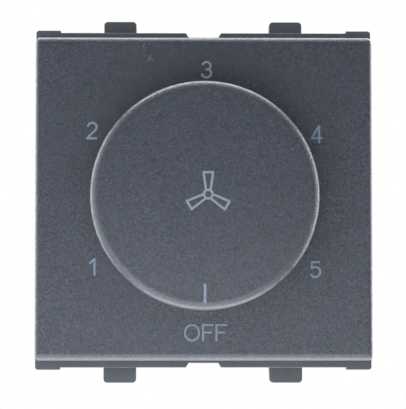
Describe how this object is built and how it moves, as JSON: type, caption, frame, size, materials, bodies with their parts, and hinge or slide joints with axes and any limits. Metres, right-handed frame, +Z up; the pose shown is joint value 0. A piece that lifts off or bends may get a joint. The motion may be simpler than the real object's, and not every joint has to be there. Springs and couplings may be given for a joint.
{
  "type": "fan speed control switch",
  "caption": "Square plug-in grid module with a round rotary knob for stepping a ceiling fan's speed, snap latches above and below, and rear cage terminals.",
  "frame": {"origin": "centre of the flange's rear face, the face that seats on the mounting grid", "axes": "+X to the right as a user sees the plate, +Y back into the wall box, +Z up"},
  "size_m": [0.045, 0.043, 0.0492],
  "materials": {
    "plate_paint": "graphite metallic paint, satin",
    "carrier_plastic": "dark grey moulded plastic, fine matt",
    "cover_plastic": "dark grey moulded plastic, fine matt",
    "acetal": "natural white, smooth",
    "nylon": "natural, smooth",
    "steel": "zinc plated",
    "brass": "bright, stamped",
    "bronze": "spring sheet",
    "board": "paper laminate, cut edges",
    "capacitor_case": "smooth moulded case",
    "resistor_body": "lacquered",
    "terminal_plastic": "black moulded plastic"
  },
  "bodies": {
    "casing": {"front_housing": "carrier_plastic", "rear_cover": "cover_plastic", "cover_screws": "steel", "face_plate": "plate_paint", "thrust_washer": "nylon", "detent_ring": "nylon", "common_contact": "brass", "circuit_board": "board", "capacitor_small": "capacitor_case", "capacitor_medium": "capacitor_case", "capacitor_large": "capacitor_case", "surge_resistor": "resistor_body", "terminal_block": "terminal_plastic", "step_contact_1": "brass", "step_contact_2": "brass", "step_contact_3": "brass", "step_contact_4": "brass", "step_contact_5": "brass", "bleed_resistor_1": "resistor_body", "bleed_resistor_2": "resistor_body", "bleed_resistor_3": "resistor_body", "terminal_bar_line": "brass", "terminal_bar_fan": "brass"},
    "knob": {"dial_knob": "plate_paint", "knob_grip_ring": "steel", "index_rotor": "acetal", "wiper": "bronze", "detent_spring": "steel"},
    "detent_ball_a": {"detent_ball_a": "steel"},
    "detent_ball_b": {"detent_ball_b": "steel"},
    "clamp_screw_line": {"clamp_screw_line": "steel"},
    "clamp_cage_line": {"clamp_cage_line": "steel"},
    "clamp_screw_fan": {"clamp_screw_fan": "steel"},
    "clamp_cage_fan": {"clamp_cage_fan": "steel"}
  },
  "joints": [
    {"name": "knob_turn", "type": "hinge", "parent": "casing", "child": "knob", "pos_m": [0, 0, 0], "axis": [0, 1, 0], "range_deg": [0, 300]},
    {"name": "detent_ball_a_slide", "type": "slide", "parent": "knob", "child": "detent_ball_a", "axis": [-1, 0, 0], "range_m": [0, 0.00035], "stiffness_N_per_m": 1500, "springref_m": 0.001},
    {"name": "detent_ball_b_slide", "type": "slide", "parent": "knob", "child": "detent_ball_b", "axis": [1, 0, 0], "range_m": [0, 0.00035], "stiffness_N_per_m": 1500, "springref_m": 0.001},
    {"name": "clamp_screw_line_turn", "type": "hinge", "parent": "casing", "child": "clamp_screw_line", "pos_m": [-0.006, 0.024, -0.01515], "axis": [0, -1, 0], "range_deg": [0, 2162]},
    {"name": "clamp_cage_line_rise", "type": "slide", "parent": "casing", "child": "clamp_cage_line", "axis": [0, 1, 0], "range_m": [0, 0.003]},
    {"name": "clamp_screw_fan_turn", "type": "hinge", "parent": "casing", "child": "clamp_screw_fan", "pos_m": [0.006, 0.024, -0.01515], "axis": [0, -1, 0], "range_deg": [0, 2162]},
    {"name": "clamp_cage_fan_rise", "type": "slide", "parent": "casing", "child": "clamp_cage_fan", "axis": [0, 1, 0], "range_m": [0, 0.003]}
  ],
  "couplings": [
    {"joint": "clamp_screw_line_turn", "follows": "clamp_cage_line_rise", "rad_per_m": 12566},
    {"joint": "clamp_screw_fan_turn", "follows": "clamp_cage_fan_rise", "rad_per_m": 12566}
  ]
}
